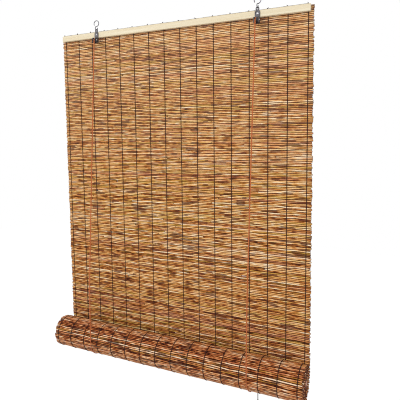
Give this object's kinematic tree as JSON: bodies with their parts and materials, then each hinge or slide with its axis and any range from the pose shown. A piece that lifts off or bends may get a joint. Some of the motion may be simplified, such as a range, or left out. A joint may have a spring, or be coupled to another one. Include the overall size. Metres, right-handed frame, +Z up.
{
  "type": "reed roll-up blind",
  "caption": "Hanging blind of woven reeds on a wooden headrail with pulleys and lift cords, part rolled up round a pole at its foot; hangs from S-hooks.",
  "frame": {"origin": "midway between the two points where the S-hooks' upper loops bear on what holds them", "axes": "+X along the reeds to the viewer's right, +Y to the back of the blind, +Z up"},
  "size_m": [0.9, 0.1367, 1.2865],
  "materials": {
    "reed": "dry reed stems, mixed browns",
    "pine": "planed pale pine",
    "stained_wood": "brown stain, satin",
    "warp_thread": "dark brown twine",
    "gunmetal": "dark satin metal",
    "steel": "bright zinc",
    "lift_cord": "twisted orange-brown cord",
    "pull_cord": "twisted dark cord"
  },
  "bodies": {
    "hooks": {"left_s_hook": "gunmetal", "right_s_hook": "gunmetal"},
    "headrail": {"front_batten": "pine", "rear_batten": "stained_wood", "reed_mat": "reed", "front_warp_threads": "warp_thread", "rear_warp_threads": "warp_thread", "warp_ties": "warp_thread", "binding_thread": "warp_thread", "left_hanger_plate": "gunmetal", "right_hanger_plate": "gunmetal", "hanger_screws": "steel", "left_axle_pin": "steel", "right_axle_pin": "steel", "screw_eye": "steel", "rear_cord_knots": "lift_cord", "left_head_cord": "lift_cord", "right_head_cord": "lift_cord", "left_rear_lift_cord": "lift_cord", "right_rear_lift_cord": "lift_cord", "left_front_lift_cord": "lift_cord", "right_front_lift_cord": "lift_cord", "left_pull_strand": "lift_cord", "right_pull_strand": "lift_cord"},
    "left_wheel": {"left_pulley": "gunmetal"},
    "right_wheel": {"right_pulley": "gunmetal"},
    "sling": {"left_roll_sling": "lift_cord", "right_roll_sling": "lift_cord"},
    "roll": {"reed_roll": "reed", "roll_warp_threads": "warp_thread", "bottom_pole": "stained_wood"},
    "pull": {"pull_knot": "pull_cord", "pull_cord": "pull_cord", "pull_knob": "stained_wood"}
  },
  "joints": [
    {"name": "blind_swing", "type": "hinge", "parent": "hooks", "child": "headrail", "pos_m": [0, 0, -0.025], "axis": [1, 0, 0], "range_deg": [-30, 30]},
    {"name": "roll_lift", "type": "slide", "parent": "headrail", "child": "sling", "axis": [0, -0.0333, 0.9994], "range_m": [0, 0.9448], "deforming": ["reed_mat", "front_warp_threads", "rear_warp_threads", "left_rear_lift_cord", "right_rear_lift_cord", "left_front_lift_cord", "right_front_lift_cord"]},
    {"name": "roll_wind", "type": "hinge", "parent": "sling", "child": "roll", "pos_m": [0, -0.004, -1.127], "axis": [1, 0, 0], "range_deg": [-1001, 5]},
    {"name": "left_wheel_spin", "type": "hinge", "parent": "headrail", "child": "left_wheel", "pos_m": [-0.29, -0.0096, -0.06715], "axis": [1, 0, 0], "continuous": true},
    {"name": "right_wheel_spin", "type": "hinge", "parent": "headrail", "child": "right_wheel", "pos_m": [0.29, -0.0096, -0.06715], "axis": [1, 0, 0], "continuous": true},
    {"name": "pull_draw", "type": "slide", "parent": "headrail", "child": "pull", "axis": [0, 0.0333, -0.9994], "range_m": [0, 1.9], "deforming": ["left_pull_strand", "right_pull_strand"]}
  ],
  "couplings": [
    {"joint": "roll_wind", "follows": "roll_lift", "rad_per_m": -18.396},
    {"joint": "pull_draw", "follows": "roll_lift", "ratio": 2}
  ]
}
